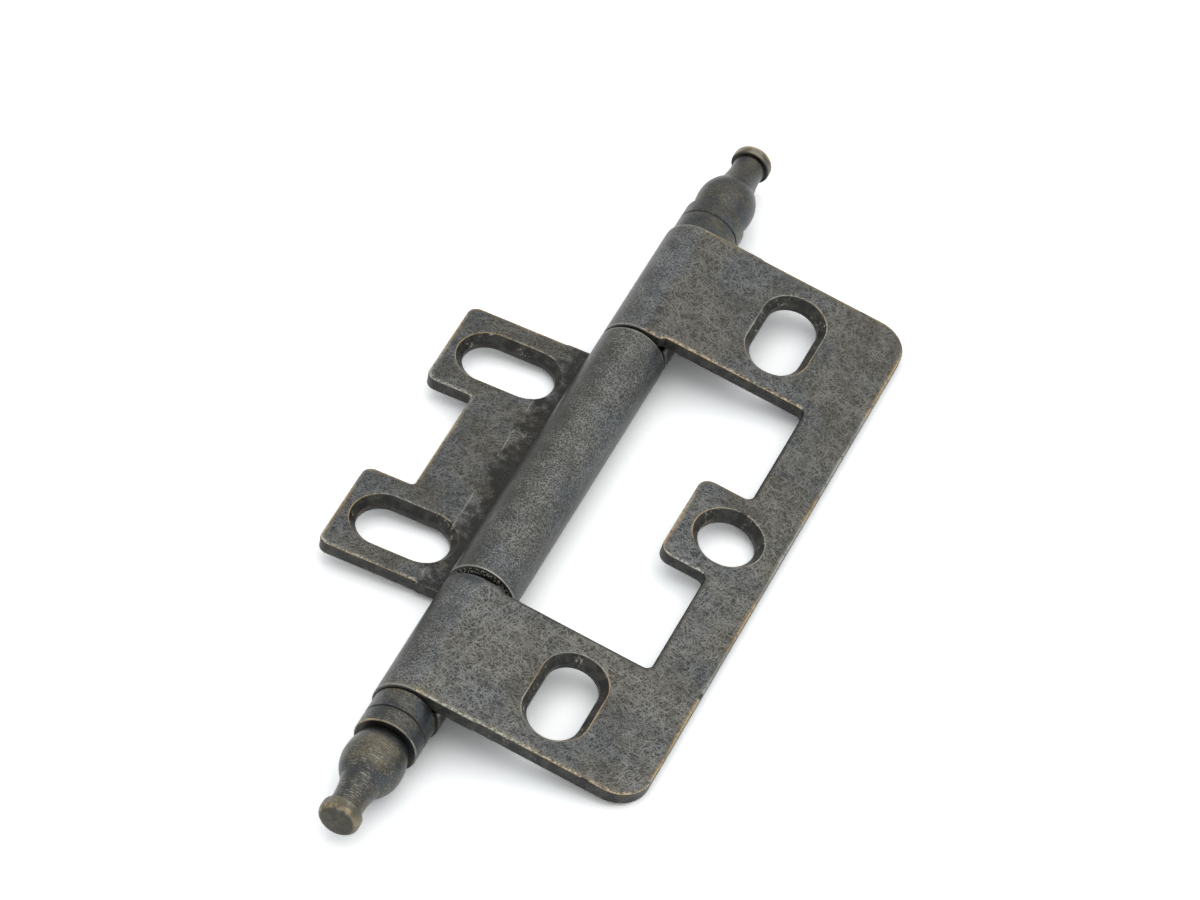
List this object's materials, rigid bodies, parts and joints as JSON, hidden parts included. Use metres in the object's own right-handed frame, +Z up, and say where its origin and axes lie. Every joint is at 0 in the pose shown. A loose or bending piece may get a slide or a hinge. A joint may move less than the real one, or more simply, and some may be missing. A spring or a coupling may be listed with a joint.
{
  "type": "non-mortise cabinet hinge",
  "caption": "Non-mortise hinge: the small slotted leaf folds into the window of the large one, about a pin with turned finials.",
  "frame": {"origin": "on the surface that the open hinge lies on, midway between the far edges of its two leaves and midway between the tips of its finials", "axes": "+Y along the pin, +X from the pin towards the outer leaf, +Z up from the surface"},
  "size_m": [0.0371, 0.0916, 0.0063],
  "materials": {
    "antiqued_sheet": "tumbled antique bronze, dark and mottled, worn bright on its edges",
    "pin_steel": "drawn, darkened",
    "antiqued_turning": "turned, antiqued dark, worn brassy on its high places"
  },
  "bodies": {
    "outer_half": {"outer_leaf": "antiqued_sheet", "hinge_pin": "pin_steel", "upper_finial": "antiqued_turning", "lower_finial": "antiqued_turning"},
    "inner_half": {"inner_leaf": "antiqued_sheet"}
  },
  "joints": [
    {"name": "leaf_swing", "type": "hinge", "parent": "outer_half", "child": "inner_half", "pos_m": [-0.00283, 0, 0.00317], "axis": [0, 1, 0], "continuous": true}
  ]
}
